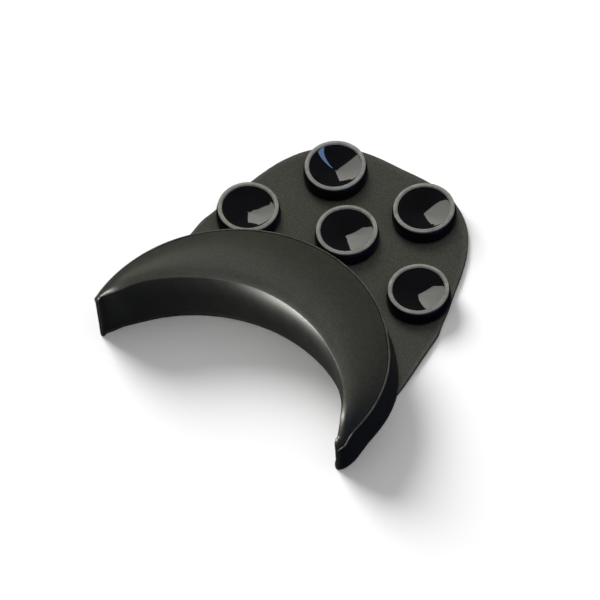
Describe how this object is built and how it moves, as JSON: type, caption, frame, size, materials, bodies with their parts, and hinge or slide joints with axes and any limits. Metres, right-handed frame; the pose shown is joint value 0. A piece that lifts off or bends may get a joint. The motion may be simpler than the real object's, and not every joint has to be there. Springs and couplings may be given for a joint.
{
  "type": "salon shampoo bowl neck rest",
  "caption": "Crescent rubber neck rest with a leaning padded roll, a flexible tongue and push-in suction cups that hold it inside a hair-washing bowl.",
  "frame": {"origin": "centre of the whole rest's box, on its flat back", "axes": "+Z the way the suction cups face, +Y towards the free end of the tongue, +X across the rest"},
  "size_m": [0.2018, 0.2249, 0.0577],
  "materials": {
    "moulded_rubber": "matte black moulded rubber",
    "skin_rubber": "satin black soft rubber skin",
    "core_gel": "soft elastomer filling, never seen",
    "cup_rubber": "polished black rubber with a matte rim"
  },
  "bodies": {
    "rest": {"base_shell": "moulded_rubber", "pad_skin": "skin_rubber", "pad_core": "core_gel"},
    "tongue": {"tongue": "moulded_rubber"},
    "suction_cup_middle": {"suction_cup_middle": "cup_rubber"},
    "suction_cup_near_left": {"suction_cup_near_left": "cup_rubber"},
    "suction_cup_near_right": {"suction_cup_near_right": "cup_rubber"},
    "suction_cup_far_left": {"suction_cup_far_left": "cup_rubber"},
    "suction_cup_far_right": {"suction_cup_far_right": "cup_rubber"}
  },
  "joints": [
    {"name": "tongue_flex", "type": "hinge", "parent": "rest", "child": "tongue", "pos_m": [0, 0.00758, 0.0016], "axis": [1, 0, 0], "range_deg": [0, 25], "stiffness_Nm_per_rad": 1.2},
    {"name": "press_middle", "type": "slide", "parent": "tongue", "child": "suction_cup_middle", "axis": [0, 0, -1], "range_m": [0, 0.0013], "stiffness_N_per_m": 4000},
    {"name": "press_near_left", "type": "slide", "parent": "tongue", "child": "suction_cup_near_left", "axis": [0, 0, -1], "range_m": [0, 0.0013], "stiffness_N_per_m": 4000},
    {"name": "press_near_right", "type": "slide", "parent": "tongue", "child": "suction_cup_near_right", "axis": [0, 0, -1], "range_m": [0, 0.0013], "stiffness_N_per_m": 4000},
    {"name": "press_far_left", "type": "slide", "parent": "tongue", "child": "suction_cup_far_left", "axis": [0, 0, -1], "range_m": [0, 0.0013], "stiffness_N_per_m": 4000},
    {"name": "press_far_right", "type": "slide", "parent": "tongue", "child": "suction_cup_far_right", "axis": [0, 0, -1], "range_m": [0, 0.0013], "stiffness_N_per_m": 4000}
  ]
}
